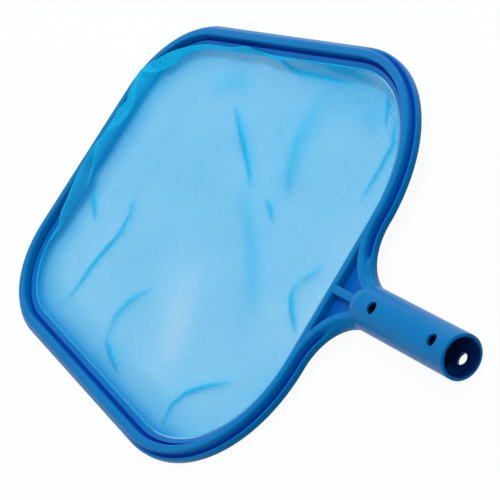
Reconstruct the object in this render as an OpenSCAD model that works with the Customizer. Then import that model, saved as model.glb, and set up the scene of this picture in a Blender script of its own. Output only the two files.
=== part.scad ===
// Head of a pool leaf skimmer: a flat moulded hoop with a fine net set in it, on a socket for a pole.
// The origin is the centre of the socket's mouth. +Y points out of the mouth, +Z is up.

/* [Hoop] */
// Length of the hoop from the far ridge to the neck ridge, centre to centre
hoop_len = 312; // [250:1:380]
// Width between the side ridges, carried on to the far ridge's line
far_w = 207; // [170:1:240]
// Width between the side ridges, carried on to the neck ridge's line
near_w = 308; // [270:1:340]
// Radius of the far corners at the ridge's centre line
far_corner_r = 59; // [30:1:75]
// Width of the straight neck between the two near corners
neck_w = 101; // [90:1:120]
// Height of the frame
frame_h = 9; // [8:0.5:12]

/* [Rim section] */
// Width of the main ridge
ridge_w = 5.2; // [4:0.1:7]
// Rounding of the main ridge's top edges
ridge_round = 1.2; // [0.4:0.1:1.8]
// Thickness of the low outer ridge
skirt_w = 2; // [1.4:0.1:3]
// Height of the low outer ridge
skirt_h = 4.3; // [3.6:0.1:6]
// Width of the groove between the main ridge and the outer ridge
outer_groove_w = 1.6; // [1.2:0.1:3]
// Height of that groove's floor
outer_floor_h = 2.7; // [1.5:0.1:3.2]
// Width of the groove between the main ridge and the net ledge
inner_groove_w = 2.3; // [1.5:0.1:4]
// Height of that groove's floor
inner_floor_h = 2.2; // [1.5:0.1:3]
// Width of the ledge that holds the net
ledge_w = 3.7; // [2.5:0.1:6]
// Height of the ledge beside its groove
ledge_h = 5; // [4.5:0.1:6]
// Height of the ledge where the net leaves it
ledge_edge_h = 3.7; // [3:0.1:4.4]

/* [Yoke] */
// Thickness of the web between the neck, the arms and the socket
web_t = 3.4; // [2:0.1:5]
// Width of the rib down the middle of the web
rib_w = 5.5; // [3:0.1:8]
// How far round each arm the outer groove runs, in degrees
groove_run = 32; // [15:1:50]

/* [Socket] */
// Length from the neck ridge's centre line to the socket's mouth
socket_len = 137; // [120:1:170]
// Outer diameter at the mouth
socket_d = 29; // [28.5:0.1:34]
// Outer diameter at the root
root_d = 28.2; // [28:0.1:32]
// Gap between the neck ridge's centre line and the tip of the domed root
dome_gap = 26.5; // [14:0.5:28]
// Diameter of the bore for the pole
bore_d = 24.7; // [20:0.1:25.5]
// Solid plastic between the bore's end and the tip of the domed root
root_wall = 15.5; // [12:0.5:22]
// Chamfer round the outside of the mouth
mouth_chamfer = 0.6; // [0.2:0.1:0.8]
// Diameter of the holes for the pole's snap buttons
snap_d = 8; // [5:0.1:10]
// Distance from the mouth to the first snap hole
snap_first = 15; // [10:0.5:20]
// Distance between the two snap holes
snap_pitch = 65; // [50:0.5:68]

/* [Net] */
// Thickness of the net
net_t = 0.6; // [0.4:0.1:1.2]
// Height of the net's edge above the bottom of the frame
net_h = 1.3; // [0.6:0.1:2]
// Number of gaps along each side of the net's middle
net_gaps = 13; // [6:1:13]
// Width of a strand
strand_w = 0.8; // [0.6:0.1:1.4]
// Width of the welded band round the edge of the net
band_w = 3; // [2:0.5:5]
// Width of the sloping border, where the net falls from the band
fall_w = 7; // [5:0.5:12]
// Clearance between the sagging net and what the part lies on
net_clear = 0.4; // [0.2:0.1:1]

/* [Hidden] */
$fn = 128;
past = 1;                                    // how far a cut runs past the face it opens
half_h = frame_h / 2;
ridge_out = ridge_w / 2;                     // offsets across the rim, from the ridge's centre line
skirt_in = ridge_out + outer_groove_w;
skirt_out = skirt_in + skirt_w;
ledge_out = ridge_out + inner_groove_w;
net_edge = ledge_out + ledge_w;

near_y = -socket_len;
far_y = near_y - hoop_len;
lean = atan((near_w - far_w) / 2 / hoop_len);   // how far the sides lean out from the Y axis
far_run = far_corner_r * tan((90 - lean) / 2);   // tangent lengths of the corners
near_run = (near_w - neck_w) / 2;
near_corner_r = near_run / tan((90 + lean) / 2);
side_len = hoop_len / cos(lean) - far_run - near_run;
far_c = [far_w / 2 - far_run, far_y + far_corner_r];
near_c = [neck_w / 2, near_y - near_corner_r];
side_dir = [sin(lean), cos(lean)];
side_normal = [cos(lean), -sin(lean)];

far_arc = far_corner_r * (90 - lean) * PI / 180;     // lengths of the corners along the ridge's centre line
near_arc = near_corner_r * (90 + lean) * PI / 180;
far_end = far_c[0] + far_arc;                // and from the middle of the far bar to the end of each stretch
side_end = far_end + side_len;
near_end = side_end + near_arc;
half_way = near_end + neck_w / 2;

root_r = root_d / 2;
root_y = near_y + dome_gap + root_r;         // centre of the domed root
bore_len = socket_len - dome_gap - root_wall;    // depth of the bore
flank_x = sqrt(root_r * root_r - half_h * half_h);   // where the frame's faces meet the socket
arm_sink = 0.4;                              // how far an arm's outer face runs inside the socket's side
arm_r = neck_w / 2 - flank_x + skirt_out + arm_sink;   // radius of an arm's ridge, tangent to the neck
arm_c = [neck_w / 2, near_y + arm_r];

function blend(a, b, t) = a + t * (b - a);

function turned(a) = [cos(a), sin(a)];

// The point at the length s along the ridge's centre line from the middle of the far bar, drawn in by d
function rim_point(s, d) =
    let (w = s > half_way ? s - 2 * half_way : s, t = abs(w), p =
        t < far_c[0] ? [t, far_y + d]
        : t < far_end ? far_c + (far_corner_r - d) * turned((t - far_end) / far_arc * (90 - lean) - lean)
        : t < side_end ? far_c + (far_corner_r - d) * side_normal + (t - far_end) * side_dir
        : t < near_end ? near_c + (near_corner_r - d) * turned((t - side_end) / near_arc * (90 + lean) - lean)
        : [half_way - t, near_y - d])
    [w < 0 ? -p[0] : p[0], p[1]];

// A bar of the section from x0 to x1, as high as h, with its two top edges rounded
module rounded_bar(x0, x1, h, r) {
    translate([x0, -half_h]) square([x1 - x0, h - r]);
    translate([x0 + r, -half_h]) square([x1 - x0 - 2 * r, h]);
    translate([x0 + r, h - half_h - r]) circle(r);
    translate([x1 - r, h - half_h - r]) circle(r);
}

module ridge_section() {
    rounded_bar(-ridge_out, ridge_out, frame_h, ridge_round);
}

// The groove and the sloping ledge on the net's side of the ridge
module ledge_section() {
    translate([-ledge_out, -half_h]) square([inner_groove_w + ridge_round, inner_floor_h]);
    polygon([
        [-net_edge, -half_h], [-ledge_out, -half_h],
        [-ledge_out, ledge_h - half_h], [-net_edge, ledge_edge_h - half_h]
    ]);
}

// The groove and the low ridge on the outside
module skirt_section() {
    translate([ridge_out - ridge_round, -half_h]) square([skirt_in - ridge_out + ridge_round, outer_floor_h]);
    rounded_bar(skirt_in, skirt_out, skirt_h, skirt_w / 4);
}

module rim_section() {
    ridge_section();
    ledge_section();
    skirt_section();
}

// The arm's flank, which falls from the ridge's top to the line of the outer ridge
module flank_section() {
    bevel = skirt_w / 4;
    polygon([
        [0, -half_h], [skirt_out, -half_h],
        [skirt_out, skirt_h - half_h - bevel], [skirt_out - 2 * bevel, skirt_h - half_h + bevel],
        [ridge_out, half_h - ridge_round], [0, half_h - ridge_round]
    ]);
}

// A straight stretch of a section: outward is +X, and it runs from the origin along -Y
module run_along(len) {
    rotate([90, 0, 0]) linear_extrude(len) children();
}

// A corner at the centre c: outward is away from c, from the angle a0 over the angle sweep
module turn_about(c, r, a0, sweep) {
    translate([c[0], c[1], 0]) rotate([0, 0, a0]) rotate_extrude(angle = sweep) translate([r, 0]) children();
}

module far_corner() {
    turn_about(far_c, far_corner_r, -90, 90 - lean) rim_section();
}

module near_corner() {
    turn_about(near_c, near_corner_r, -lean, 90 + lean) rim_section();
}

module side_bar() {
    start = near_c + near_corner_r * side_normal;
    translate([start[0], start[1], 0]) rotate([0, 0, -lean]) run_along(side_len) rim_section();
}

module rim_far() {
    color("#1f74bd")
    translate([far_c[0], far_y, 0]) rotate([0, 0, -90]) run_along(2 * far_c[0]) rim_section();
}

module rim_far_corner_left() {
    color("#1f74bd") mirror([1, 0, 0]) far_corner();
}

module rim_far_corner_right() {
    color("#1f74bd") far_corner();
}

module rim_side_left() {
    color("#1f74bd") mirror([1, 0, 0]) side_bar();
}

module rim_side_right() {
    color("#1f74bd") side_bar();
}

module rim_near_corner_left() {
    color("#1f74bd") mirror([1, 0, 0]) near_corner();
}

module rim_near_corner_right() {
    color("#1f74bd") near_corner();
}

// The socket's outside: a slightly tapered tube with a chamfered mouth and a domed root
module socket_outside() {
    rotate([90, 0, 0]) cylinder(h = mouth_chamfer, d1 = socket_d - 2 * mouth_chamfer, d2 = socket_d);
    translate([0, -mouth_chamfer, 0]) rotate([90, 0, 0])
        cylinder(h = -root_y - mouth_chamfer, d1 = socket_d, d2 = root_d);
    translate([0, root_y, 0]) sphere(root_r);
}

// One arm: the rim's ridge and flank curve off the neck and run into the socket's side
module arm() {
    difference() {
        turn_about(arm_c, arm_r, 180, 90) mirror([1, 0]) {
            ridge_section();
            flank_section();
        }
        turn_about(arm_c, arm_r, 270 - groove_run, groove_run + past) mirror([1, 0])
            translate([ridge_out, outer_floor_h - half_h]) square([outer_groove_w, frame_h]);
        turn_about(arm_c, arm_r, 270 - groove_run, groove_run + past) mirror([1, 0])
            translate([skirt_in, skirt_h - half_h]) square([skirt_w + past, frame_h]);
    }
}

// The floor of the two pockets, bounded by the arms' ridges
module web_outline() {
    difference() {
        translate([-neck_w / 2, near_y]) square([neck_w, arm_r]);
        for (side = [-1, 1]) translate([side * arm_c[0], arm_c[1]]) circle(arm_r);
    }
}

module yoke() {
    color("#1d6fb8")
    difference() {
        union() {
            translate([-neck_w / 2, near_y, 0]) rotate([0, 0, 90]) run_along(neck_w) {
                ridge_section();
                ledge_section();
            }
            arm();
            mirror([1, 0, 0]) arm();
            translate([0, 0, -half_h]) linear_extrude(web_t) web_outline();
            translate([-rib_w / 2, near_y, -half_h]) cube([rib_w, dome_gap + root_r, frame_h]);
        }
        socket_outside();
    }
}

module socket() {
    color("#1b75b6")
    difference() {
        socket_outside();
        translate([0, past, 0]) rotate([90, 0, 0]) cylinder(h = bore_len + past, d = bore_d);
        for (y = [snap_first, snap_first + snap_pitch])
            translate([0, -y, -socket_d]) cylinder(h = 2 * socket_d, d = snap_d);
    }
}

// The height of what the part lies on: a plane under the mouth and the far bar
function rest_z(y) = blend(-socket_d / 2, -half_h, y / (far_y - skirt_out));

// A point of the net's underside: fall is 0 at the net's edge and 1 where the net lies
function net_point(p, fall) =
    let (edge_z = net_h - half_h)
    [p[0], p[1], blend(edge_z, min(edge_z, rest_z(p[1]) + net_clear), fall)];

// The two edges of each strand, as shares of a lattice side of the length len
function strand_shares(len) =
    [for (k = [0:net_gaps]) each [k / net_gaps - strand_w / 2 / len, k / net_gaps + strand_w / 2 / len]];

// The rings have two more points in each gap than the lattice has, so that they follow the rim
function fine(m) = m % 2 == 0 ? 2 * m : 2 * m - 1;

// Both faces of a four-sided patch, where up leads from a vertex to the one above it
function patch(q, up) = [
    [q[0], q[1], q[2]], [q[0], q[2], q[3]],
    [q[0] + up, q[3] + up, q[2] + up], [q[0] + up, q[2] + up, q[1] + up]
];

// The upright faces along a loop of vertices with the sheet on its left
function walls(loop, up) = [
    for (k = [0:len(loop) - 1])
        let (a = loop[k], b = loop[(k + 1) % len(loop)])
        each [[a, a + up, b + up], [a, b + up, b]]
];

function reversed(list) = [for (k = [len(list) - 1:-1:0]) list[k]];

// One sagging sheet: a lattice of straight strands, and two rings of gaps that lead to the welded band
module net() {
    last = 2 * net_gaps + 1;                 // patches along a side of the lattice, strands and gaps
    row = last + 1;
    around = 4 * last;
    fine_last = fine(last);
    fine_around = 4 * fine_last;

    turns = [-far_end + far_arc / 2, far_end - far_arc / 2, near_end - near_arc / 2];
    sides = concat(turns, [2 * half_way - turns[2], 2 * half_way - turns[1]]);
    corner = [for (k = [0:3]) rim_point(sides[k], net_edge + band_w + 2 * fall_w)];
    us = strand_shares(norm(corner[1] - corner[0]));
    vs = strand_shares(norm(corner[2] - corner[1]));
    lattice = [
        for (v = vs, u = us)
            net_point(blend(blend(corner[0], corner[1], u), blend(corner[3], corner[2], u), v), 1)
    ];
    shares = [
        for (m = [0:last - 1], f = [fine(m):fine(m + 1) - 1])
            blend(us[m], us[m + 1], (f - fine(m)) / (fine(m + 1) - fine(m)))
    ];
    along = [for (k = [0:3], u = shares) blend(sides[k], sides[k + 1], (u - us[0]) / (us[last] - us[0]))];
    insets = [net_edge + band_w + fall_w + strand_w, net_edge + band_w + fall_w, net_edge + band_w, net_edge];
    falls = [1, 1, 0, 0];
    low = concat(lattice, [for (k = [0:3], s = along) net_point(rim_point(s, insets[k]), falls[k])]);
    up = len(low);

    // Ring 0 is the lattice's border, and ring 4 is the welded edge
    border = concat(
        [for (i = [0:last - 1]) i], [for (j = [0:last - 1]) j * row + last],
        [for (i = [last:-1:1]) last * row + i], [for (j = [last:-1:1]) j * row]
    );
    rings = concat(
        [border],
        [for (k = [0:3]) [for (f = [0:fine_around - 1]) row * row + k * fine_around + f]]
    );
    spans = [
        for (k = [0:4]) [
            for (side = [0:3], m = [0:last - 1])
                k == 0
                    ? [border[side * last + m], border[(side * last + m + 1) % around]]
                    : [for (f = [fine(m):fine(m + 1)]) rings[k][(side * fine_last + f) % fine_around]]
        ]
    ];
    cells = concat(
        [for (j = [0:last - 1], i = [0:last - 1])
            [j * row + i, j * row + i + 1, (j + 1) * row + i + 1, (j + 1) * row + i]],
        [for (k = [0, 2], i = [0:around - 1]) concat(spans[k + 1][i], reversed(spans[k][i]))]
    );
    gaps = concat(
        [for (j = [0:last - 1], i = [0:last - 1]) i % 2 == 1 && j % 2 == 1],
        [for (k = [0, 2], i = [0:around - 1]) i % last % 2 == 1]
    );
    bands = [
        for (k = [1, 3], f = [0:fine_around - 1])
            let (next = (f + 1) % fine_around)
            [rings[k + 1][f], rings[k + 1][next], rings[k][next], rings[k][f]]
    ];
    faces = concat(
        [for (k = [0:len(cells) - 1]) each gaps[k] ? walls(reversed(cells[k]), up) : patch(cells[k], up)],
        [for (q = bands) each patch(q, up)],
        walls(rings[4], up)
    );
    color("#8ec9ee") polyhedron(concat(low, [for (p = low) p + [0, 0, net_t]]), faces);
}

rim_far();
rim_far_corner_left();
rim_far_corner_right();
rim_side_left();
rim_side_right();
rim_near_corner_left();
rim_near_corner_right();
yoke();
socket();
net();
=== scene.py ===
import bpy
import math
import numpy as np
from mathutils import Matrix, Vector


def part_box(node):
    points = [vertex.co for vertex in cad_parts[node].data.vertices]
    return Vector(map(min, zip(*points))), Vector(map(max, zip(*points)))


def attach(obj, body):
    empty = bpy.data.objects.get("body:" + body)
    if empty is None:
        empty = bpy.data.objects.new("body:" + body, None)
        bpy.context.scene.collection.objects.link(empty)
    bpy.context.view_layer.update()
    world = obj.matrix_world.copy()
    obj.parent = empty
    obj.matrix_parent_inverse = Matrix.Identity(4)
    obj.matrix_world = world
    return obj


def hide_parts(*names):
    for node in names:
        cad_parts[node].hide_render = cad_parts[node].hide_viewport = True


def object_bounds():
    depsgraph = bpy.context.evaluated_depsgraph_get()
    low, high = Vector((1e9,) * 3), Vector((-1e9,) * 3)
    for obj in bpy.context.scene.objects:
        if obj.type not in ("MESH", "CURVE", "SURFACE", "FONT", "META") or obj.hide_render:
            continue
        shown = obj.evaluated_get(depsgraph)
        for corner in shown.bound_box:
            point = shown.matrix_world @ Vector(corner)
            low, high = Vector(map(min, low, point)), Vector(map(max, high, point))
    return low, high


# A pool leaf skimmer head: a moulded hoop, a yoke and socket, and a slack net.
# +Y leaves the socket's mouth and +Z is up. Lengths in the dictionaries are millimetres, apart from those of
# the lamps and the camera, which are metres.

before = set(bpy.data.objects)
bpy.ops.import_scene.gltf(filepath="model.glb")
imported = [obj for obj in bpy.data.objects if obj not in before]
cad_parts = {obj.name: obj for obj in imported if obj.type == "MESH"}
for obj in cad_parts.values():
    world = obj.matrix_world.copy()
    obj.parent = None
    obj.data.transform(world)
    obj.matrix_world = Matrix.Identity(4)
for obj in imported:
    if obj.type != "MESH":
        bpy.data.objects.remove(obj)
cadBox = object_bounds()
mm = 0.001


def nodeBox(name):
    # The lowest and the highest corner of a CAD node.
    low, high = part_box(name)
    return np.array(low) / mm, np.array(high) / mm


# Places taken from the frame.
rimLow, rimHigh = nodeBox("rim_far")
yokeLow, yokeHigh = nodeBox("yoke")
socketLow, _ = nodeBox("socket")

section = dict(
    ridgeHalf=2.6,          # half the main ridge's width
    ridgeRound=1.15,        # rounding of its outer top edge
    outerFoot=2.75,         # where the outer groove's floor begins
    outerGroove=4.2,        # where that groove ends and the low outer ridge begins
    outerLean=0.15,         # how much wider the groove is at its floor
    outerFloor=-1.8,        # height of its floor
    skirtTop=-0.2,          # height of the low outer ridge
    skirtOut=6.2,           # outer side of the low outer ridge
    innerFoot=-2.65,        # where the inner groove's floor begins
    innerGroove=-4.9,       # where that groove ends and the ledge begins
    innerLean=0.1,          # how much wider the groove is at its top
    innerFloor=-2.3,        # height of its floor
    ledgeTop=0.5,           # height of the ledge beside its groove
    ledgeEdge=-0.8,         # height of the ledge where the net leaves it
    netEdge=-8.6,           # inner side of the ledge
    coreHalf=2.4,           # the ledge's piece also fills the main ridge: half its width there
    coreDrop=0.02,          # and how far it ends below the ridge's top
    flankHalf=2.5,          # half the ridge's width at its top where the outer groove has run out
)
halfHigh = rimHigh[2]                            # half the frame's height
farLine = rimLow[1] + section["skirtOut"]        # the ridge's centre line along the far side
nearLine = yokeLow[1] - section["netEdge"]       # and along the neck
neckHalf = yokeHigh[0]                           # the neck bar ends where the near corners begin
farHalf = rimHigh[0]                             # the far bar ends where the far corners begin

hoop = dict(
    lean=math.atan2(50.5, 312.0),   # how far the sides lean out
    farHalfLine=103.5,              # half the width between the side ridges on the far line
    warp=1.24e-4,                   # twist of the moulding: rise per mm across and per mm from the neck
    step=1.5,                       # spacing of the stations along the rim
    finePoints=40001,               # points of the fine path that the stations are read from
    grooveStart=(285.0, 345.0),     # the outer groove comes up between these distances from the far side's middle
)
hoop["farRadius"] = (hoop["farHalfLine"] - farHalf) / math.tan(math.pi / 4 - hoop["lean"] / 2)
hoop["nearHalfLine"] = hoop["farHalfLine"] + (nearLine - farLine) * math.tan(hoop["lean"])
hoop["nearRadius"] = (hoop["nearHalfLine"] - neckHalf) / math.tan(math.pi / 4 + hoop["lean"] / 2)


# Helpers for curves and meshes.
def warpRise(p):
    # The moulding's twist: the rise is warp times x times the distance beyond the neck.
    return hoop["warp"] * p[..., 0] * np.maximum(0.0, nearLine - p[..., 1])


def lengthsAlong(points):
    # The distance of each point of a path from its start, summed over the straight bits between them.
    return np.concatenate([[0.0], np.cumsum(np.linalg.norm(np.diff(points, axis=0), axis=1))])


def headingPath(start, heading, lengths, turns, step):
    # A plane path from its heading: straight and round stretches have a constant turn rate,
    # so the heading is piecewise linear in the arc length and the place is its integral.
    knots = np.concatenate([[0.0], np.cumsum(lengths)])
    headings = heading + np.concatenate([[0.0], np.cumsum(turns)])
    parts = [np.linspace(a, b, max(2, int(round((b - a) / step)) + 1))[:-1]
             for a, b in zip(knots[:-1], knots[1:])]
    s = np.concatenate(parts + [knots[-1:]])
    fine = np.linspace(0.0, knots[-1], hoop["finePoints"])
    between = np.interp((fine[1:] + fine[:-1]) / 2, knots, headings)
    ds = fine[1] - fine[0]
    x = start[0] + np.concatenate([[0.0], np.cumsum(np.cos(between)) * ds])
    y = start[1] + np.concatenate([[0.0], np.cumsum(np.sin(between)) * ds])
    place = np.stack([np.interp(s, fine, x), np.interp(s, fine, y)], 1)
    turned = np.interp(s, knots, headings)
    left = np.stack([-np.sin(turned), np.cos(turned)], 1)     # the rim runs clockwise, so left is outward
    return s, place, left


def hoopStretches():
    # Lengths and turns from one end of the neck bar to the other, the long way round. A corner's arc takes
    # the same length off both of its sides, so a side is what its two corners leave of the whole line.
    nearTurn, farTurn = math.pi / 2 + hoop["lean"], math.pi / 2 - hoop["lean"]
    nearArc, farArc = hoop["nearRadius"] * nearTurn, hoop["farRadius"] * farTurn
    whole = (nearLine - farLine) / math.cos(hoop["lean"])
    side = whole - (hoop["farHalfLine"] - farHalf) - (hoop["nearHalfLine"] - neckHalf)
    lengths = [nearArc, side, farArc, 2 * farHalf, farArc, side, nearArc]
    turns = [-nearTurn, 0, -farTurn, 0, -farTurn, 0, -nearTurn]
    return lengths, turns


def rimPath(step):
    # Once round the hoop, clockwise from the middle of the neck: its stretches between two halves of the neck.
    lengths, turns = hoopStretches()
    return headingPath((0.0, nearLine), 0.0, [neckHalf, *lengths, neckHalf], [0, *turns, 0], step)


def roundedProfile(corners, n=5):
    # A closed profile with its corners rounded: each corner becomes a quadratic curve between two points
    # on its sides. A row holds the corner's place, outward and up, and how far the two points lie from it.
    rows = np.array(corners, float)
    c, r = rows[:, :2], rows[:, 2:]
    back = np.roll(c, 1, 0) - c
    ahead = np.roll(c, -1, 0) - c
    a = c + back / np.linalg.norm(back, axis=1)[:, None] * r
    b = c + ahead / np.linalg.norm(ahead, axis=1)[:, None] * r
    t = np.linspace(0, 1, n)[None, :, None]
    curve = (1 - t) ** 2 * a[:, None] + 2 * t * (1 - t) * c[:, None] + t ** 2 * b[:, None]
    return curve.reshape(-1, 2)


def gridFaces(rows, cols, closeRows, closeCols):
    # Quads of a grid of points, with either direction closed into a loop: a point and its next ones
    # along the row and the column.
    i = np.arange(rows if closeRows else rows - 1)
    j = np.arange(cols if closeCols else cols - 1)
    i, j = np.meshgrid(i, j, indexing="ij")
    i1, j1 = (i + 1) % rows, (j + 1) % cols
    quads = np.stack([i * cols + j, i1 * cols + j, i1 * cols + j1, i * cols + j1], -1)
    return quads.reshape(-1, 4)


def addObject(name, data):
    # A new object in the scene, at the origin.
    obj = bpy.data.objects.new(name, data)
    bpy.context.scene.collection.objects.link(obj)
    return obj


def makeMesh(name, points, quads, caps=(), smooth=True):
    # Puts whole arrays into a new mesh, in metres.
    mesh = bpy.data.meshes.new(name)
    mesh.from_pydata((points * mm).tolist(), [], quads.tolist() + [list(cap) for cap in caps])
    mesh.update()
    obj = addObject(name, mesh)
    mesh.polygons.foreach_set("use_smooth", np.full(len(mesh.polygons), smooth))
    return obj


def turnOutward(obj):
    # The sign of a closed mesh's volume says which way its faces point: six times the volume is the sum over
    # the triangles of one corner times the cross product of the other two.
    mesh = obj.data
    mesh.calc_loop_triangles()
    tri = np.zeros(len(mesh.loop_triangles) * 3, int)
    mesh.loop_triangles.foreach_get("vertices", tri)
    co = np.zeros(len(mesh.vertices) * 3)
    mesh.vertices.foreach_get("co", co)
    p = co.reshape(-1, 3)[tri.reshape(-1, 3)]
    if np.einsum("ij,ij->i", p[:, 0], np.cross(p[:, 1], p[:, 2])).sum() < 0:
        mesh.flip_normals()
    return obj


def addAttribute(obj, name, values):
    # One number for each point of a mesh, for its material.
    attribute = obj.data.attributes.new(name, "FLOAT", "POINT")
    attribute.data.foreach_set("value", np.asarray(values, np.float32).reshape(-1))


# Painted shade down in the grooves, across the rim's section.
recessShading = dict(
    start=2.5,              # it begins this far from the ridge's centre line
    pastInner=0.2,          # and ends this far past the inner groove's wall,
    pastOuter=0.3,          # and past the outer one's
    top=2.0,                # it starts at this height
    full=-1.0,              # and is full at this one
    ledge=0.25,             # its share of painted shade on the ledge
    under=1.0,              # there is no painted shade this near the underside
)


def recessShadeShare(profiles):
    # The share of painted shade: 1 at the bottom of the two grooves, 0 at their upper edges and outside them,
    # a little on the ledge, and linear in the height between.
    out, up = profiles[..., 0], profiles[..., 1]
    innerEnd = section["innerGroove"] - recessShading["pastInner"]
    outerEnd = section["outerGroove"] + recessShading["pastOuter"]
    inner = (out < -recessShading["start"]) & (out > innerEnd)
    outer = (out > recessShading["start"]) & (out < outerEnd)
    depth = np.clip((recessShading["top"] - up) / (recessShading["top"] - recessShading["full"]), 0, 1)
    share = recessShading["ledge"] * (out <= innerEnd) + (inner | outer) * depth
    return share * (up > recessShading["under"] - halfHigh)


def sweep(name, place, outward, profiles, closed):
    # Carries a profile of (offset outward, height) along a plane path: a point is the path's place plus
    # the outward direction times the offset, at the profile's height plus the twist's rise.
    profiles = np.broadcast_to(profiles, (len(place), *profiles.shape[-2:]))
    pts = np.concatenate([place[:, None] + outward[:, None] * profiles[..., :1], profiles[..., 1:]], -1)
    pts[..., 2] += warpRise(pts)
    rows, cols = pts.shape[:2]
    caps = [] if closed else [np.arange(cols), np.arange(cols) + (rows - 1) * cols]
    obj = makeMesh(name, pts.reshape(-1, 3), gridFaces(rows, cols, closed, True), caps)
    # the share of painted shade in the grooves at each point, for the material
    addAttribute(obj, "recessShade", recessShadeShare(profiles))
    return turnOutward(obj)


# Shader maths.
class Sock:
    # Wraps a shader socket, so that sums and products of values read as Python expressions.
    def __init__(self, tree, socket):
        self.tree, self.socket = tree, socket

    def maths(self, operation, a, b=None, clamp=False):
        values = [a] if b is None else [a, b]
        return self.tree.node("ShaderNodeMath", dict(operation=operation, use_clamp=clamp), values)[0]

    def __add__(self, other):
        return self.maths("ADD", self, other)

    def __radd__(self, other):
        return self.maths("ADD", other, self)

    def __sub__(self, other):
        return self.maths("SUBTRACT", self, other)

    def __rsub__(self, other):
        return self.maths("SUBTRACT", other, self)

    def __mul__(self, other):
        return self.maths("MULTIPLY", self, other)

    def __rmul__(self, other):
        return self.maths("MULTIPLY", other, self)

    def __truediv__(self, other):
        return self.maths("DIVIDE", self, other)

    def __rtruediv__(self, other):
        return self.maths("DIVIDE", other, self)

    def power(self, other):
        return self.maths("POWER", self, other)

    def sine(self):
        return self.maths("SINE", self)

    def clamped(self):
        return self.maths("ADD", self, 0.0, clamp=True)


class Tree:
    # The node tree of a material or a world, with one method that adds any node.
    def __init__(self, owner):
        self.owner = owner
        owner.use_nodes = True
        self.nodes = owner.node_tree.nodes
        self.links = owner.node_tree.links

    def node(self, kind, settings=None, values=()):
        # Adds a node of this type, with its settings first and then its sockets' values or links.
        n = self.nodes.new(kind)
        for key, value in (settings or {}).items():
            setattr(n, key, value)
        pairs = values.items() if isinstance(values, dict) else enumerate(values)
        for key, value in pairs:
            self.put(n.inputs[key], value)
        return [Sock(self, out) for out in n.outputs]

    def put(self, target, value):
        # Links a socket to its target, or sets the target to a plain value.
        if isinstance(value, Sock):
            self.links.new(value.socket, target)
        else:
            target.default_value = value

    def attribute(self, name):
        # The number that a mesh holds under this name at each point.
        return self.node("ShaderNodeAttribute", dict(attribute_name=name))[2]

    def mix(self, factor, a, b):
        # Mixes two colours.
        return self.node("ShaderNodeMix", dict(data_type="RGBA"), {0: factor, 6: a, 7: b})[2]

    def noise(self, where, scale, detail=2.0):
        # A noise that lies round 0.5, with its scale per metre.
        return self.node("ShaderNodeTexNoise", None,
                         {"Vector": where, "Scale": scale, "Detail": detail, "Roughness": 0.5})[0]

    def bump(self, strength, height, depth=0.0002):
        # The normal of a surface that rises by the height times the depth, in metres.
        return self.node("ShaderNodeBump", None, {"Strength": strength, "Distance": depth, "Height": height})[0]

    def blend(self, factor, a, b):
        # Blends two shaders.
        return self.node("ShaderNodeMixShader", None, [factor, a, b])[0]

    def shade(self, **inputs):
        # Puts values and links into the material's own shader, by the names of its sockets.
        for key, value in inputs.items():
            self.put(self.nodes["Principled BSDF"].inputs[key.replace("_", " ")], value)
        return self.owner


def linear(r, g, b):
    # From the eye's 0 to 255 scale to the renderer's linear one.
    v = np.array([r, g, b]) / 255.0
    v = np.where(v <= 0.04045, v / 12.92, ((v + 0.055) / 1.055) ** 2.4)
    return (float(v[0]), float(v[1]), float(v[2]), 1.0)


# Materials.
plastic = dict(
    base=linear(8, 125, 187),
    deep=linear(0, 112, 178),
    recessShade=linear(0, 70, 192),      # painted shade down in the grooves
    bore=linear(0, 44, 112),        # painted shade inside the socket
    gloss=(0.1, 0.62, 1.0, 1.0),    # tint of the gloss
    shine=0.1,                      # and its strength
    roughness=0.34,
    flow=22.0,                      # scale of the mottling
    flowRough=0.12,                 # how much it changes the roughness
    grain=2600.0,                   # scale of the fine moulded grain
    grainColour=0.35,               # how much its coarser part changes the colour
    grainRough=0.1,                 # and the roughness
    bump=0.25,
    boreRadius=12.3,                # the bore's painted shade reaches out to here
    boreFade=0.5,                   # fades over this distance
    boreDepth=96.0,                 # and ends this deep
)


def mouldedPlastic(name):
    # Blue moulded plastic: slight mottling, a fine grain and soft gloss. It has painted shade low down in the
    # grooves, by an attribute, and inside the bore, by the distance from the socket's axis.
    p = plastic
    t = Tree(bpy.data.materials.new(name))
    where = t.node("ShaderNodeTexCoord")[3]
    x, y, z = t.node("ShaderNodeSeparateXYZ", None, [where])
    fromAxis = (x * x + z * z).power(0.5) / mm
    # how much painted shade the bore's wall takes: full inside its radius and down to its depth
    boreWall = (1 - (fromAxis - p["boreRadius"]) / p["boreFade"]).clamped()
    boreWall = boreWall * (1 - (-p["boreDepth"] - y / mm)).clamped()
    flow = t.noise(where, p["flow"], 3.0)
    grain = t.noise(where, p["grain"] / 3)
    fine = t.noise(where, p["grain"], 1.0)
    colour = t.mix((flow + p["grainColour"] * (grain - 0.5)).clamped(), p["deep"], p["base"])
    # painted shade low down in the grooves
    colour = t.mix(t.attribute("recessShade"), colour, p["recessShade"])
    # painted shade inside the bore
    colour = t.mix(boreWall, colour, p["bore"])
    rough = p["roughness"] + p["flowRough"] * (flow - 0.5) + p["grainRough"] * (grain - 0.5)
    return t.shade(Base_Color=colour, Roughness=rough, Normal=t.bump(p["bump"], grain + 0.5 * fine),
                   Specular_IOR_Level=p["shine"], Specular_Tint=p["gloss"])


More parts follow.
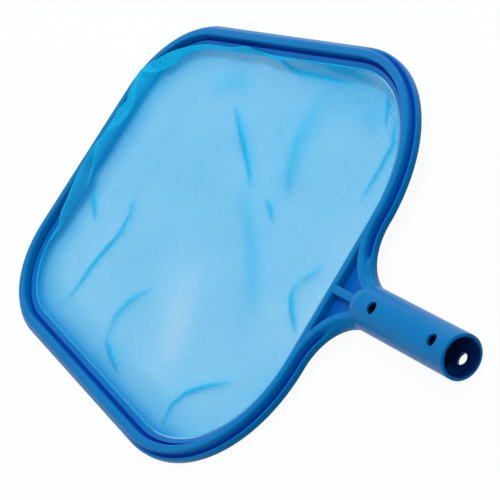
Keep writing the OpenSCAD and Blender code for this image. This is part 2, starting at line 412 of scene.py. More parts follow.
net = dict(
    thread=linear(0, 191, 238),
    dense=linear(0, 169, 220),      # where the mesh is thicker or patchy
    netShade=linear(0, 141, 200),    # painted shade where it hangs below the ledge and where the flap lies in the rim's shade
    edgeHighlight=linear(170, 205, 228),      # painted highlight where its edge comes out of the plastic
    pitch=1.25,                     # distance between threads
    sway=5.0,                       # how far they wander, as an angle of their wave
    drift=160.0,                    # scale of their wandering
    cloud=17.0,                     # scale of the broad clouds
    patch=640.0,                    # scale of the small patches
    cover=0.8,                      # how much of the light a single layer stops
    coverHoles=0.4,                 # how much the holes change that
    coverPatch=0.2,                 # and the patches
    layers=(0.8, 0.4),              # a layer counts for this, plus this in the clouds
    tone=0.3,                       # how far the colour goes from thread to dense
    toneCloud=0.4,                  # and how much the clouds, the patches and the holes change that
    tonePatch=3.2,
    toneHoles=0.7,
    roughness=0.6,
    shine=0.15,
    bump=0.3,
)


def netMesh(name):
    # A fine knitted mesh: threads both ways in the net's own flat coordinates. One attribute says how many
    # layers of it lie here, one how much painted shade it has below the ledge and on the flap, and one where
    # its edge comes out of the plastic and has a painted highlight. What it lets through is what one layer lets
    # through, to the power of the layers.
    n = net
    t = Tree(bpy.data.materials.new(name))
    flat = t.node("ShaderNodeUVMap", dict(uv_map="flat"))[0]
    u, v, _ = t.node("ShaderNodeSeparateXYZ", None, [flat])
    layers, edgeHighlight, netShade = [t.attribute(each) for each in ("layers", "edgeHighlight", "netShade")]
    where = t.node("ShaderNodeTexCoord")[3]
    drift = t.noise(where, n["drift"])
    cloud = t.noise(where, n["cloud"], 3.0)
    patch = t.noise(where, n["patch"])
    turn = 2 * math.pi / (n["pitch"] * mm)
    threadsU, threadsV = [(turn * across + n["sway"] * drift).sine() for across in (u, v)]
    holes = 0.25 * ((1 + threadsU) * (1 + threadsV))            # 1 in a hole's middle, 0 on the threads
    cover = (n["cover"] + n["coverHoles"] * (0.25 - holes) + n["coverPatch"] * (patch - 0.5)).clamped()
    oneLayer, inClouds = n["layers"]
    through = (1 - cover).power(layers * (oneLayer + inClouds * cloud))
    tone = n["tone"] + n["toneCloud"] * cloud + n["tonePatch"] * (patch - 0.5) + n["toneHoles"] * (holes - 0.25)
    colour = t.mix(tone.clamped(), n["thread"], n["dense"])
    # painted shade where the net hangs below the ledge and on the flap
    colour = t.mix(netShade, colour, n["netShade"])
    # painted highlight where the net's edge comes out of the plastic
    colour = t.mix(edgeHighlight, colour, n["edgeHighlight"])
    return t.shade(Base_Color=colour, Alpha=(1 - through).clamped(), Roughness=n["roughness"],
                   Normal=t.bump(n["bump"], 1 - holes), Specular_IOR_Level=n["shine"])


# The rim and the arms. Each row of a profile is a corner: outward, up and its rounding.
def ledgeProfile(s):
    # The ledge and the inner groove, with a core that fills the main ridge.
    coreTop = halfHigh - s["coreDrop"]
    return roundedProfile([
        (s["netEdge"], -halfHigh, 0.4),
        (s["coreHalf"], -halfHigh, 0.4),
        (s["coreHalf"], coreTop, 1.0),
        (-s["coreHalf"], coreTop, 0.9),
        (s["innerFoot"], s["innerFloor"], 0.45),
        (s["innerGroove"], s["innerFloor"], 0.4),
        (s["innerGroove"] - s["innerLean"], s["ledgeTop"], 0.35),
        (s["netEdge"], s["ledgeEdge"], 0.5),
    ])


def bandProfile(s):
    # The main ridge, the outer groove and the low outer ridge.
    return roundedProfile([
        (-s["ridgeHalf"], -halfHigh, 0.3),
        (s["skirtOut"], -halfHigh, 0.6),
        (s["skirtOut"], s["skirtTop"], 0.7),
        (s["outerGroove"], s["skirtTop"], 0.6),
        (s["outerGroove"] + s["outerLean"], s["outerFloor"], 0.4),
        (s["outerFoot"], s["outerFloor"], 0.5),
        (s["ridgeHalf"], halfHigh, s["ridgeRound"]),
        (-s["ridgeHalf"], halfHigh, 1.0),
    ])


def flankProfile(s):
    # The same where the outer groove has run out: a slope from the skirt up to the ridge.
    return roundedProfile([
        (-s["ridgeHalf"], -halfHigh, 0.3),
        (s["skirtOut"], -halfHigh, 0.6),
        (s["skirtOut"], -0.6, 0.9),
        (5.4, 1.0, 0.6),
        (4.4, 2.0, 0.5),
        (3.6, 2.9, 0.6),
        (s["flankHalf"], halfHigh, 1.3),
        (-s["ridgeHalf"], halfHigh, 1.0),
    ])


arms = dict(
    flankX=13.36,         # where the frame's faces meet the socket
    fade=(0.28, 0.55),    # the outer groove runs out between these shares of the arm's turn
    tail=14.0,            # how far an arm runs on inside the socket
    sink=0.4,             # how far its outer face lies inside the socket's side
)
arms["radius"] = neckHalf - arms["flankX"] + section["skirtOut"] + arms["sink"]


def bandPath(step):
    # From inside the socket, out along the left arm, once round the hoop and back along the right arm:
    # an arm is a quarter turn with a straight tail. The share is 0 where an arm leaves the rim and 1 at
    # the socket, linear in the arc length between.
    lengths, turns = hoopStretches()
    tail, quarter, armArc = arms["tail"], math.pi / 2, arms["radius"] * math.pi / 2
    start = (neckHalf - arms["radius"], nearLine + arms["radius"] + tail)
    along, place, left = headingPath(start, -quarter, [tail, armArc, *lengths, armArc, tail],
                                     [0, quarter, *turns, quarter, 0], step)
    fromEnd = np.minimum(along, along[-1] - along)
    share = 1 - np.clip((fromEnd - tail) / armArc, 0, 1)
    return place, left, share, along[-1] / 2 - fromEnd


def easeBetween(value, low, high):
    # 0 below low, 1 above high, and between them three times t squared less twice t cubed.
    t = np.clip((value - low) / (high - low), 0, 1)
    return t * t * (3 - 2 * t)


def buildLedge():
    # The ledge's profile carried once round the hoop.
    _, place, outward = rimPath(hoop["step"])
    return sweep("rim_ledge", place[:-1], outward[:-1], ledgeProfile(section), True)


def buildBand():
    # The band's profile carried along both arms and round the hoop. It turns into the flank's profile
    # where the outer groove runs out: each point moves straight from the one to the other.
    place, outward, share, fromFar = bandPath(hoop["step"])
    fade = np.maximum(easeBetween(share, *arms["fade"]), 1 - easeBetween(fromFar, *hoop["grooveStart"]))
    fade = fade[:, None, None]
    profiles = (1 - fade) * bandProfile(section)[None] + fade * flankProfile(section)[None]
    return sweep("rim_band", place, outward, profiles, False)


print("rim")
ledge = buildLedge()
band = buildBand()

# The yoke's web and rib.
yoke = dict(
    webTop=-1.1,          # height of the web's upper face
    webShade=0.5,        # how far its colour goes towards the grooves' painted shade
    toSocket=38.0,        # how far web and rib run from the neck's centre line
    rows=60,              # points of the web along and across
    cols=60,
    ribHalf=2.75,         # half the rib's width
    ribRound=0.7,         # rounding of its top edges
    ribFoot=0.2,          # and of its lower ones
    ribDrop=0.04,         # how far it ends below the frame's top
    ribBack=1.0,          # how far it begins inside the neck bar
    ribRows=40,
)


def buildWeb():
    # A flat plate between the arms' centre lines: across it x runs from one arm to the other, and an arm's
    # line is a circle, so its reach is the neck's half less the root of the radius squared less the rise squared.
    rows, cols = yoke["rows"], yoke["cols"]
    y = np.linspace(nearLine, nearLine + yoke["toSocket"], rows)
    rise = arms["radius"] - (y - nearLine)
    reach = neckHalf - np.sqrt(np.maximum(arms["radius"] ** 2 - rise ** 2, 0))
    x = reach[:, None] * np.linspace(-1, 1, cols)[None]
    top = np.stack([x, np.repeat(y[:, None], cols, 1), np.full_like(x, yoke["webTop"])], -1).reshape(-1, 3)
    low = top.copy()
    low[:, 2] = -halfHigh
    upper = gridFaces(rows, cols, False, False)
    under = rows * cols                                        # the lower face's points come after the upper one's
    edge = np.concatenate([
        np.arange(cols), np.arange(1, rows) * cols + cols - 1,
        (rows - 1) * cols + np.arange(cols - 2, -1, -1), np.arange(rows - 2, 0, -1) * cols])
    ahead = np.roll(edge, -1)
    walls = np.stack([edge, ahead, ahead + under, edge + under], 1)
    quads = np.concatenate([upper[:, ::-1], upper + under, walls])
    obj = makeMesh("yoke_web", np.concatenate([top, low]), quads, smooth=False)
    # the web's upper face takes part of the grooves' painted shade
    addAttribute(obj, "recessShade", np.full(len(obj.data.vertices), yoke["webShade"]))
    return turnOutward(obj)


def buildRib():
    # A profile with rounded edges carried straight along the middle of the web.
    half, top = yoke["ribHalf"], halfHigh - yoke["ribDrop"]
    profile = roundedProfile([
        (-half, -halfHigh, yoke["ribFoot"]),
        (half, -halfHigh, yoke["ribFoot"]),
        (half, top, yoke["ribRound"]),
        (-half, top, yoke["ribRound"]),
    ])
    y = np.linspace(nearLine - yoke["ribBack"], nearLine + yoke["toSocket"], yoke["ribRows"])
    outward = np.repeat([[1.0, 0.0]], len(y), 0)
    return sweep("yoke_rib", np.stack([np.zeros_like(y), y], 1), outward, profile, False)


print("yoke")
web = buildWeb()
rib = buildRib()

# The net. It hangs from the ledge's edge and lies slack on the floor. Round the far side it is bunched
# up: it leans out over the rim to a crest and is folded back over itself.
floor = dict(
    mouth=socketLow[2],      # the socket's lowest line rests on the floor
    riseBack=0.02198,        # rise per mm towards the far side
    riseAcross=0.0394,       # rise per mm across, because the hoop is twisted
)


def floorHeight(p):
    # The plane that the part rests on: the mouth's height plus the two rises times the two distances.
    return floor["mouth"] - floor["riseBack"] * p[..., 1] + floor["riseAcross"] * p[..., 0]


cloth = dict(
    root=(-7.7, -1.3),       # where the net's edge sits in the ledge, outward and up from the ridge's centre
    leave=(-8.55, -0.55),    # where it comes out of the ledge
    clear=0.35,              # gap between the net and the floor
    around=560,              # points round the net
    aroundStep=0.5,          # spacing of the path that they are read from
    folds=86,                # rings in the folded border
    foldsShare=(0.64, 0.89), # this share of them takes this share of the curve, so the rest are closer
    inside=72,               # rings from there to the middle
    flatRings=40,            # the innermost rings, which lie flat for certain
    border=25.0,             # the border ends this far in from the ledge's edge
    middle=(0.0, -285.0),
    slack=0.35,              # height of the gentle waves where the net lies
    settle=5.0,              # it comes to lie on the floor over this distance
    under=0.9,               # layers of mesh under the flap
    hangNear=1.6,            # layers of mesh where it hangs down from the ledge along the near side
    lineWidth=0.55,          # layers at which a fold's edge shows no painted shade
    lineFull=2.0,            # layers at which a fold's edge shows no shelter
    creaseFoot=0.8,          # how far a crease shows where the net doesn't lie yet
    edgeHighlight=(1.6, 1.1),          # the painted edge highlight shows this strongly, less the distance over this one
)

# How the cloth falls across the rim, outward and up.
fall = dict(
    crestEnds=(-0.2, 0.1),   # from the scale to the crest where nothing is bunched
    foldEnds=(-0.5, 0.1),    # and to the fold
    foldUp=0.7,              # how far the fold lies above its scale where it is bunched
    flapUp=0.25,             # how far the flap bulges between crest and fold
    foldedIn=5.0,            # how soon a fold on the scale's inner side counts as inside the ledge
    passIn=(0.7, 0.5),       # it passes the ledge at least this far inside its edge, and this far inside the fold
    passUp=0.7,              # and this far above its edge where it is bunched,
    passDown=1.0,            # or this far below a fold that lies inside
    reach=(1.2, 0.3),        # it meets the floor this far in, plus this share of its height
    bend=(0.35, 0.55, 0.45), # its bend on the way: share of that distance, shares of the upper and lower height
    flat=3.0,                # from there it lies flat at least this far
)

# What changes along the rim: places in mm from the middle of the far side, and the values there.
alongRim = dict(
    steep=((322, 352), (1, 0)),                      # to either side: 0 along the near side
    hang=((60, 150), (3.3, 1.5)),                    # layers where it hangs down, apart from the near side
    shade=((20, 60, 120, 150), (1.0, 0.6, 0.3, 0)),  # shade of the ledge where it hangs down
    veil=((-58, -44, -6, 8), (0, 1, 1, 0)),          # the flap is in the rim's shade here
    # where the net's edge shows its painted highlight
    edgeHighlight=((-335, -305, -145, -115, 60, 90, 305, 335), (1, 0.2, 0.2, 1, 1, 0, 0, 1)),
)

# The bunched part, by the same places. Crest and fold are on a scale that is 0 at the ledge's edge, 1 on
# top of the ridge and below 0 inside the ledge. The flap between them has its own layers of mesh, and so
# have the lines along its crest and its fold.
bunch = np.array([
    # place, crest, fold, flap, crest line, fold line
    (-66, 0.00, 0.00, 1.00, 0.0, 0.0), (-53, -0.05, -0.20, 1.20, 0.4, 0.0), (-48, 0.04, -0.28, 1.40, 0.8, 0.0),
    (-44, 0.27, -0.30, 1.60, 1.2, 0.0), (-40, 0.39, -0.30, 1.80, 1.6, 0.0), (-29, 0.58, -0.32, 1.80, 2.0, 0.0),
    (-22, 0.73, -0.34, 1.80, 2.0, 0.3), (-14, 0.84, -0.33, 1.80, 2.0, 1.0), (-8, 0.89, -0.08, 1.40, 2.0, 1.6),
    (-3, 0.91, 0.06, 0.90, 2.0, 2.0), (4, 0.91, 0.43, 0.70, 2.0, 2.0), (10, 0.88, 0.62, 0.70, 2.0, 2.0),
    (14, 0.74, 0.68, 1.20, 2.0, 2.0), (19, 0.73, 0.67, 1.50, 2.0, 2.0), (22, 0.75, 0.51, 1.60, 2.2, 2.2),
    (31, 0.80, 0.13, 1.70, 2.4, 2.4), (38, 0.83, 0.06, 1.70, 2.4, 2.4), (41, 0.78, 0.03, 1.70, 2.4, 2.4),
    (45, 0.69, 0.10, 1.70, 2.4, 2.4), (50, 0.81, 0.24, 1.70, 2.4, 2.4), (53, 0.85, 0.46, 1.60, 2.4, 2.4),
    (58, 0.92, 0.60, 1.60, 2.4, 2.4), (64, 1.00, 0.86, 1.60, 2.4, 2.4), (68, 1.03, 0.84, 1.60, 2.4, 2.4),
    (72, 1.05, 0.35, 1.80, 2.4, 2.4), (77, 0.94, 0.00, 1.90, 2.4, 2.4), (82, 0.80, -0.20, 1.90, 2.4, 2.4),
    (91, 0.68, -0.33, 1.90, 2.4, 2.4), (101, 0.48, -0.24, 1.90, 2.4, 2.4), (112, 0.29, -0.18, 1.80, 2.4, 2.4),
    (120, 0.20, -0.20, 1.40, 2.4, 2.4), (129, 0.16, -0.19, 1.30, 2.4, 2.4), (143, 0.18, -0.12, 1.30, 2.4, 2.4),
    (160, 0.21, -0.13, 1.30, 2.4, 2.4), (168, 0.34, -0.14, 1.30, 2.4, 2.4), (176, 0.47, -0.11, 1.30, 2.4, 2.4),
    (181, 0.44, -0.09, 1.30, 2.4, 2.4), (187, 0.33, 0.05, 1.30, 2.4, 2.4), (196, 0.18, -0.05, 1.20, 2.2, 2.2),
    (204, 0.04, -0.13, 1.20, 2.0, 2.0), (213, -0.14, -0.19, 1.10, 1.8, 1.8), (222, -0.10, -0.12, 0.90, 0.8, 0.8),
    (232, 0.00, 0.00, 0.75, 0.0, 0.0),
])
scale = dict(
    at=(-0.6, 0.0, 0.29, 0.61, 0.80, 1.05),
    out=(-17.0, -8.55, -7.5, -5.2, -3.0, 0.8),
    up=(-1.6, -0.5, 2.2, 4.6, 5.6, 5.9),
)

# Creases where the net lies: points along each one, its width, its height and the layers that it adds.
creases = [
    ([(-76, -348), (-61, -324), (-51, -308), (-41, -293), (-30, -280)], 2.0, 1.4, 2.8),
    ([(-108, -275), (-91, -268), (-79, -265), (-67, -262), (-55, -256), (-38, -243)], 10.0, 1.6, 0.7),
    ([(-58, -258), (-50, -253), (-38, -243)], 1.8, 0.5, 1.0),
    ([(-31, -264), (-28, -257), (-24, -250), (-18, -243)], 1.1, 0.8, 2.4),
    ([(6, -389), (20, -380), (34, -378), (47, -382), (62, -385), (76, -386), (92, -391)], 1.7, 1.4, 3.0),
    ([(12, -437), (20, -430), (26, -420), (36, -409)], 1.4, 1.0, 2.6),
    ([(95, -330), (104, -314), (111, -295)], 1.5, 1.2, 2.6),
    ([(50, -310), (67, -327), (80, -331), (90, -329), (100, -324)], 3.4, 1.3, 1.1),
    ([(78, -187), (90, -210), (99, -223), (110, -230), (121, -228), (128, -220)], 1.6, 1.4, 2.6),
    ([(5, -192), (16, -186), (24, -177), (35, -161)], 1.5, 1.3, 2.6),
    ([(-10, -175), (1, -182), (12, -187)], 3.0, 1.0, 0.8),
    ([(-112, -194), (-96, -181), (-80, -179), (-54, -179)], 1.4, 1.1, 2.8),
    ([(-125, -216), (-122, -213), (-116, -206), (-108, -200), (-103, -195)], 1.2, 0.8, 2.8),
    ([(-121, -340), (-115, -324), (-112, -314), (-112, -306), (-115, -288), (-118, -262), (-119, -250)],
     1.3, 1.3, 4.5),
    ([(-121, -290), (-122, -276), (-125, -248), (-126, -225)], 2.4, 0.8, 2.0),
    ([(-110, -232), (-105, -216), (-92, -195)], 6.5, 0.8, 0.3),
    ([(-36, -304), (-16, -270), (7, -240), (30, -217), (50, -204)], 8.0, 1.2, 0.45),
    ([(-86, -330), (-90, -356), (-76, -388)], 10.0, 1.2, 0.35),
    ([(-125, -330), (-112, -270), (-116, -200), (-84, -150)], 20.0, 0.0, 0.25),
    ([(-60, -150), (0, -148), (60, -160)], 22.0, 0.0, -0.3),
    ([(20, -300), (70, -270), (112, -250)], 24.0, 0.0, -0.3),
]
creaseShape = dict(
    reach=4.0,               # a crease is worked out this many widths round its points
    fade=0.7,                # power of the fading along it
    wide=2.6,                # its foot is this many times as wide
    wideTall=0.5,            # the foot's share of the height
    wideLayers=0.17,         # and of the layers
)


def creaseField(p, lines):
    # Each crease is a smooth ridge: its height is a bell curve of the distance from the nearest point
    # of its line, times a sine that fades it at the line's two ends, on a wider and lower foot.
    c = creaseShape
    height = np.zeros(len(p))
    layers = np.zeros(len(p))
    for points, width, tall, dense in lines:
        pts = np.array(points, float)
        margin = c["reach"] * width
        near = np.where(np.all((p > pts.min(0) - margin) & (p < pts.max(0) + margin), axis=1))[0]
        q = p[near]
        a, ab = pts[:-1], np.diff(pts, axis=0)
        lengths = np.linalg.norm(ab, axis=1)
        before = np.concatenate([[0.0], np.cumsum(lengths)[:-1]])
        t = np.clip(((q[:, None] - a[None]) * ab[None]).sum(2) / (lengths ** 2)[None], 0, 1)
        gap = np.linalg.norm(q[:, None] - (a[None] + t[..., None] * ab[None]), axis=2)
        k = gap.argmin(1)
        i = np.arange(len(q))
        share = (before[k] + t[i, k] * lengths[k]) / lengths.sum()
        ends = np.sin(np.pi * np.clip(share, 0, 1))
        body = np.exp(-(gap[i, k] / width) ** 2) * ends ** c["fade"]
        foot = np.exp(-(gap[i, k] / (c["wide"] * width)) ** 2) * ends
        height[near] += tall * (body + c["wideTall"] * foot)
        layers[near] += dense * (body ** 2 + c["wideLayers"] * foot)
    return height, layers


def waves(x, y):
    # Gentle waves: the mean of four sines that cross at uneven angles.
    return (np.sin(x / 19 + y / 31 + 0.6) + np.sin(x / 33 - y / 23 + 1.9) + np.sin(x / 11 + y / 47 + 3.1)
            + np.sin(y / 13 - x / 41 + 0.2)) / 4


def onScale(k):
    # From the scale of crest and fold to (outward, height), along a line that climbs the ridge.
    return np.stack([np.interp(k, scale["at"], scale["out"]), np.interp(k, scale["at"], scale["up"])], -1)


def splineWeights(keys, t):
    # Weights of a quadratic B-spline with its ends clamped: each row gives one sample's share of each key.
    # Cox and de Boor's rule: each degree blends the two weights of the degree below.
    knots = np.concatenate([[0, 0], np.linspace(0, 1, keys - 1), [1, 1]])
    t = np.clip(t, 0, 1 - 1e-9)[:, None]
    w = ((t >= knots[None, :-1]) & (t < knots[None, 1:])).astype(float)
    for degree in (1, 2):
        n = len(knots) - 1 - degree
        rise = np.maximum(knots[degree:degree + n] - knots[:n], 1e-12)[None]
        drop = np.maximum(knots[1 + degree:1 + degree + n] - knots[1:1 + n], 1e-12)[None]
        rising = (t - knots[None, :n]) / rise * w[:, :n]
        falling = (knots[None, 1 + degree:1 + degree + n] - t) / drop * w[:, 1:n + 1]
        w = rising + falling
    return w


def roundTheNet():
    # Even places round the ridge's centre line, by their arc length, with the outward direction and the
    # distance from the far side's middle.
    _, path, out = rimPath(cloth["aroundStep"])
    length = lengthsAlong(path)
    at = np.linspace(0, length[-1], cloth["around"] + 1)[:-1]
    line = np.stack([np.interp(at, length, path[:, i]) for i in (0, 1)], 1)
    outward = np.stack([np.interp(at, length, out[:, i]) for i in (0, 1)], 1)
    return line, outward / np.linalg.norm(outward, axis=1)[:, None], at - length[-1] / 2


# The border's key places: root, leaving the ledge, on the way up, crest, flap, fold, on the way in,
# passing the ledge, bend, meeting the floor, lying, end.
keyCount, crestKey, foldKey = 12, 3, 5


def borderKeys(edge, crestAt, foldAt, raised):
    # The key places of each upright section across the rim, as (outward, up). Crest and fold come from
    # their scale, and the others lie between them, the ledge's edge and the floor.
    f = fall
    leaveOut, leaveUp = cloth["leave"]
    drop = floorHeight(edge) + cloth["clear"] - warpRise(edge)      # the floor's height in the untwisted frame
    one = np.ones_like(raised)
    up, level = raised[:, None], (1 - raised)[:, None]

    def key(out, height):
        # One key of every section, from a number for each or one number for all.
        return np.stack([out * one, height * one], -1)

    crest = onScale(crestAt) + key(*f["crestEnds"]) * level
    fold = onScale(foldAt) + key(0.0, f["foldUp"]) * up + key(*f["foldEnds"]) * level
    inside = np.clip(-f["foldedIn"] * foldAt, 0, 1)
    passOut = np.minimum(leaveOut - f["passIn"][0], fold[:, 0] - f["passIn"][1])
    passUp = (leaveUp + f["passUp"] * raised) * (1 - inside) + (fold[:, 1] - f["passDown"]) * inside
    reach = f["reach"][0] + f["reach"][1] * np.maximum(0, passUp - drop)
    landOut = passOut - reach
    bendIn, bendUpper, bendLower = f["bend"]
    leave, passing = key(leaveOut, leaveUp), key(passOut, passUp)
    keys = np.stack([
        key(*cloth["root"]), leave, 0.5 * (leave + crest), crest,
        0.5 * (crest + fold) + key(0, f["flapUp"]) * up, fold, 0.5 * (fold + passing), passing,
        key(passOut - bendIn * reach, bendUpper * passUp + bendLower * drop),
        key(landOut, drop), key(landOut - f["flat"], drop), key(leaveOut - cloth["border"], drop)])
    return keys, landOut


def borderLook(fromFar, raised, flap, lines, t, weights, run):
    # The border's layers of mesh and its painted shade. Both have a value at each key and follow the same curve
    # as the cloth. A bell curve of the distance adds the layers along the crest and the fold, and lessens the
    # painted shade there.
    one, none = np.ones_like(fromFar), np.zeros_like(fromFar)
    steep = np.interp(np.abs(fromFar), *alongRim["steep"])
    under = 1 - (1 - cloth["under"]) * raised
    between = flap * raised + (1 - raised)
    hang = cloth["hangNear"] + (np.interp(fromFar, *alongRim["hang"]) - cloth["hangNear"]) * steep
    shade = steep * np.interp(fromFar, *alongRim["shade"])
    veil = np.interp(fromFar, *alongRim["veil"])
    layers = weights @ np.stack([one, one, under, under, between, between, hang, hang,
                                 0.1 + 0.9 * hang, 0.45 + 0.55 * hang, 0.85 + 0.15 * hang, one])
    # painted shade below the ledge, beside its inner wall, and on the flap in the rim's shade
    netShade = weights @ np.stack([none, none, none, none, veil, veil, np.maximum(0.5 * shade, veil), shade,
                                  shade, 0.8 * shade, 0.3 * shade, none])
    for at, dense in zip((crestKey, foldKey), lines):
        here = (at - 0.5) / (keyCount - 2)                          # where the curve passes that key
        k = np.searchsorted(t, here, side="right") - 1
        middle = (run[k + 1] - run[k]) / (t[k + 1] - t[k]) * (here - t[k]) + run[k]
        onLine = np.exp(-((run - middle[None]) / cloth["lineWidth"]) ** 2)
        layers = layers + dense * onLine
        netShade = netShade * (1 - onLine * np.clip(dense / cloth["lineFull"], 0, 1))
    return layers, netShade


def netSurface():
    # The border: in each upright section across the rim the net is a spline through key places,
    # from the ledge out to the crest, back over itself to the fold, in over the ledge and down to the floor.
    # Inside the border the rings shrink to the middle and lie on the floor.
    line, outward, fromFar = roundTheNet()
    crestAt, foldAt, flap, crestLine, foldLine = [
        np.interp(fromFar, bunch[:, 0], bunch[:, i], left=0, right=0) for i in range(1, 6)]
    raised = np.clip(np.interp(fromFar, bunch[[0, 2, -3, -1], 0], [0, 1, 1, 0]), 0, 1)
    leaveOut = cloth["leave"][0]
    keys, landOut = borderKeys(line + outward * leaveOut, crestAt, foldAt, raised)
    ringShare, curveShare = cloth["foldsShare"]
    t = np.interp(np.linspace(0, 1, cloth["folds"]), [0, ringShare, 1], [0, curveShare, 1])
    weights = splineWeights(keyCount, t)
    curve = np.einsum("tk,kac->tac", weights, keys)
    border = line[None] + outward[None] * curve[..., :1]
    middle = np.array(cloth["middle"])
    rho = np.linspace(1, 0, cloth["inside"] + 1)[1:-1]
    inner = middle + (border[-1][None] - middle) * rho[:, None, None]
    rings = np.concatenate([border, inner])

    def withInside(values, rest):
        # The border's values, and this one on all the rings inside it.
        return np.concatenate([values, np.full(inner.shape[:2], rest)])

    # heights: down to the floor and no lower, and there the creases and the waves
    ground = floorHeight(rings) + cloth["clear"]
    z = np.concatenate([curve[..., 1] + warpRise(border), ground[len(border):]])
    depth = withInside(leaveOut - curve[..., 0], cloth["border"])
    lies = np.clip((depth - (leaveOut - landOut)[None]) / cloth["settle"], 0, 1)
    z = np.maximum(z, ground)
    z = z + lies * (ground - z)
    height, extra = [field.reshape(z.shape) for field in creaseField(rings.reshape(-1, 2), creases)]
    z = z + lies * (height + cloth["slack"] * (1 + waves(rings[..., 0], rings[..., 1])))
    # the net's own flat coordinates: the slack cloth of the border spreads out beyond the ledge
    steps = np.linalg.norm(np.diff(curve, axis=0), axis=2)
    run = np.concatenate([np.zeros((1, len(line))), np.cumsum(steps, 0)])
    spread = line[None] + outward[None] * (leaveOut - cloth["border"] + run[-1:] - run)[..., None]
    own = np.concatenate([spread, inner])
    # what the material reads
    layers, netShade = borderLook(fromFar, raised, flap, (crestLine, foldLine), t, weights, run)
    layers = withInside(layers, 1.0) + extra * np.clip(lies + cloth["creaseFoot"], 0, 1)
    # a painted highlight along the net's edge where it comes out of the plastic, fading over its run
    edgeHighlightFull, edgeHighlightWidth = cloth["edgeHighlight"]
    edgeHighlight = withInside(np.interp(fromFar, *alongRim["edgeHighlight"]) * np.clip(edgeHighlightFull - run / edgeHighlightWidth, 0, 1), 0.0)
    netShade = withInside(netShade, 0.0)
    return np.concatenate([rings, z[..., None]], -1), own, layers, edgeHighlight, netShade


def buildNet():
    # A grid of rings, closed round the middle with one fan of triangles.
    pts, own, layers, edgeHighlight, netShade = netSurface()
    rows, cols = pts.shape[:2]
    middle = np.array(cloth["middle"])
    middlePoint = np.array([*middle, pts[-1, :, 2].mean()])
    points = np.concatenate([pts.reshape(-1, 3), middlePoint[None]])
    last = (rows - 1) * cols
    spoke = np.arange(cols)
    fan = np.stack([last + spoke, np.full(cols, rows * cols), last + (spoke + 1) % cols], 1)
    obj = makeMesh("net_sheet", points, gridFaces(rows, cols, False, True), fan)
    mesh = obj.data
    normal = np.zeros(len(mesh.vertices) * 3)
    mesh.vertices.foreach_get("normal", normal)
    if normal.reshape(-1, 3)[-cols * cloth["flatRings"]:, 2].mean() < 0:
        mesh.flip_normals()
    for name, values, atMiddle in (("layers", layers, 1.0), ("edgeHighlight", edgeHighlight, 0.0), ("netShade", netShade, 0.0)):
        addAttribute(obj, name, np.append(values.reshape(-1), atMiddle))
    uv = mesh.uv_layers.new(name="flat")
    index = np.zeros(len(mesh.loops), int)
    mesh.loops.foreach_get("vertex_index", index)
    flat = np.concatenate([own.reshape(-1, 2), middle[None]]) * mm
    uv.data.foreach_set("uv", flat[index].reshape(-1).astype(np.float32))
    return obj


print("net")
netSheet = buildNet()

# Finishes.
print("finishes")
blue = mouldedPlastic("moulded_blue")
for piece in (ledge, band, web, rib):
    piece.data.materials.append(blue)
    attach(piece, "root")
netSheet.data.materials.append(netMesh("net_mesh"))
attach(netSheet, "root")
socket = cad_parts["socket"]
socket.data.materials.clear()
socket.data.materials.append(blue)
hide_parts("rim_far", "rim_far_corner_left", "rim_far_corner_right", "rim_side_left", "rim_side_right",
            "rim_near_corner_left", "rim_near_corner_right")
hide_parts("yoke")
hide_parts("net")

# Floor, light and camera.
print("stage")
stage = dict(
    reach=3000.0,                       # how far the floor goes on round the part
    slope=330.0,                        # it falls to its lower level over this distance
    margin=20.0,                        # from this far outside the part
    low=-22.0,                          # height of the lower level
    colour=0.9,                         # the floor's white
    plain=0.94,                         # how much of it is plain white instead, with no shading
    bounce=0.35,                        # its grey for the light that it throws back
    sky=0.66,                           # strength of the light from all round
    skyColour=(0.78, 0.9, 1.0, 1.0),
)
lamps = dict(
    key=dict(place=(-1.2, -0.1, 2.5), size=1.0, power=28),
    behind=dict(place=(-1.7, -1.3, 0.8), size=0.8, power=9),
)
lampAim = (0, -0.25, 0)
view = dict(
    place=(0.0735, 1.7962, 1.4213),
    aim=(0.00324, -0.23701, 0.0),
    roll=-58.3155,                      # degrees
    lens=288.0,                         # millimetres, as is the sensor
    sensor=36.0,
    clip=20.0,
)


def seenDirectly(t):
    # 1 for what the camera sees, also in a reflection or through glass, and 0 for light on its way.
    ray = t.node("ShaderNodeLightPath")
    return (ray[0] + ray[3] + ray[6]).clamped()


def grey(value):
    # A colour with this value in all three.
    return (value, value, value, 1.0)


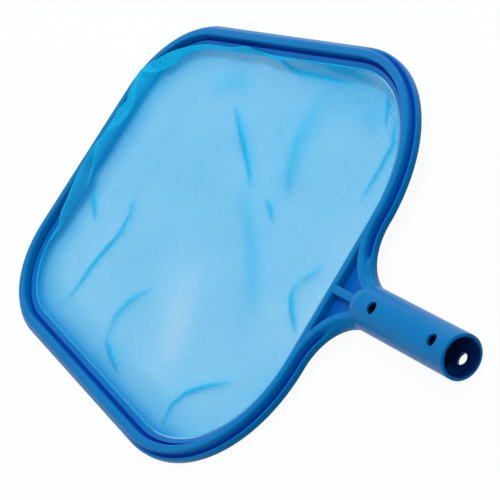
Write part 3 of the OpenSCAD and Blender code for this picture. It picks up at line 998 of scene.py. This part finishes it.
def stageFloor():
    # Under the part the floor is the plane that the part rests on, and round it it falls to a lower level,
    # so that no view from the side is blocked. It looks white but still takes the part's shadow, and it
    # throws only a little light back on the part.
    reach, slope, margin = stage["reach"], stage["slope"], stage["margin"]
    low, high = np.array(cadBox[0]) / mm - margin, np.array(cadBox[1]) / mm + margin
    x, y = [np.array([a - reach, a - slope, a, b, b + slope, b + reach]) for a, b in zip(low[:2], high[:2])]
    pts = np.stack([*np.meshgrid(x, y), np.full((len(y), len(x)), stage["low"])], -1)
    pts[2:4, 2:4, 2] = floorHeight(pts[2:4, 2:4])
    obj = makeMesh("floor", pts.reshape(-1, 3), gridFaces(len(y), len(x), False, False), smooth=False)
    t = Tree(bpy.data.materials.new("floor_white"))
    white = t.node("ShaderNodeBsdfDiffuse", None, [grey(stage["colour"])])[0]
    dull = t.node("ShaderNodeBsdfDiffuse", None, [grey(stage["bounce"])])[0]
    glow = t.node("ShaderNodeEmission", None, [grey(1.0), 1.0])[0]
    shown = t.blend(stage["plain"], white, glow)
    t.put(t.nodes["Material Output"].inputs[0], t.blend(seenDirectly(t), dull, shown))
    obj.data.materials.append(t.owner)


def facing(place, aim):
    # The turn that makes a lamp or a camera at this place look at its aim.
    return (Vector(aim) - Vector(place)).to_track_quat("-Z", "Y")


def areaLamp(name, place, size, power):
    # A square lamp that looks at the middle of the hoop.
    lamp = bpy.data.lights.new(name, "AREA")
    lamp.size, lamp.energy = size, power
    obj = addObject(name, lamp)
    obj.location = place
    obj.rotation_euler = facing(place, lampAim).to_euler()


def plainWorld():
    # A dim sky lights the part, and the camera sees plain white instead.
    world = bpy.data.worlds.new("plain")
    bpy.context.scene.world = world
    t = Tree(world)
    dim = t.node("ShaderNodeBackground", None, [stage["skyColour"], stage["sky"]])[0]
    white = t.node("ShaderNodeBackground", None, [grey(1.0), 1.0])[0]
    t.put(t.nodes["World Output"].inputs[0], t.blend(seenDirectly(t), dim, white))


def addCamera():
    # It looks from its place to its aim, turned about that line by the roll.
    data = bpy.data.cameras.new("camera")
    data.lens, data.sensor_width, data.clip_end = view["lens"], view["sensor"], view["clip"]
    camera = addObject("camera", data)
    roll = Matrix.Rotation(math.radians(view["roll"]), 3, "Z")
    turned = facing(view["place"], view["aim"]).to_matrix() @ roll
    camera.matrix_world = Matrix.Translation(Vector(view["place"])) @ turned.to_4x4()
    bpy.context.scene.camera = camera


stageFloor()
for name, lamp in lamps.items():
    areaLamp(name, **lamp)
plainWorld()
addCamera()
bpy.context.scene.view_settings.view_transform = "Standard"
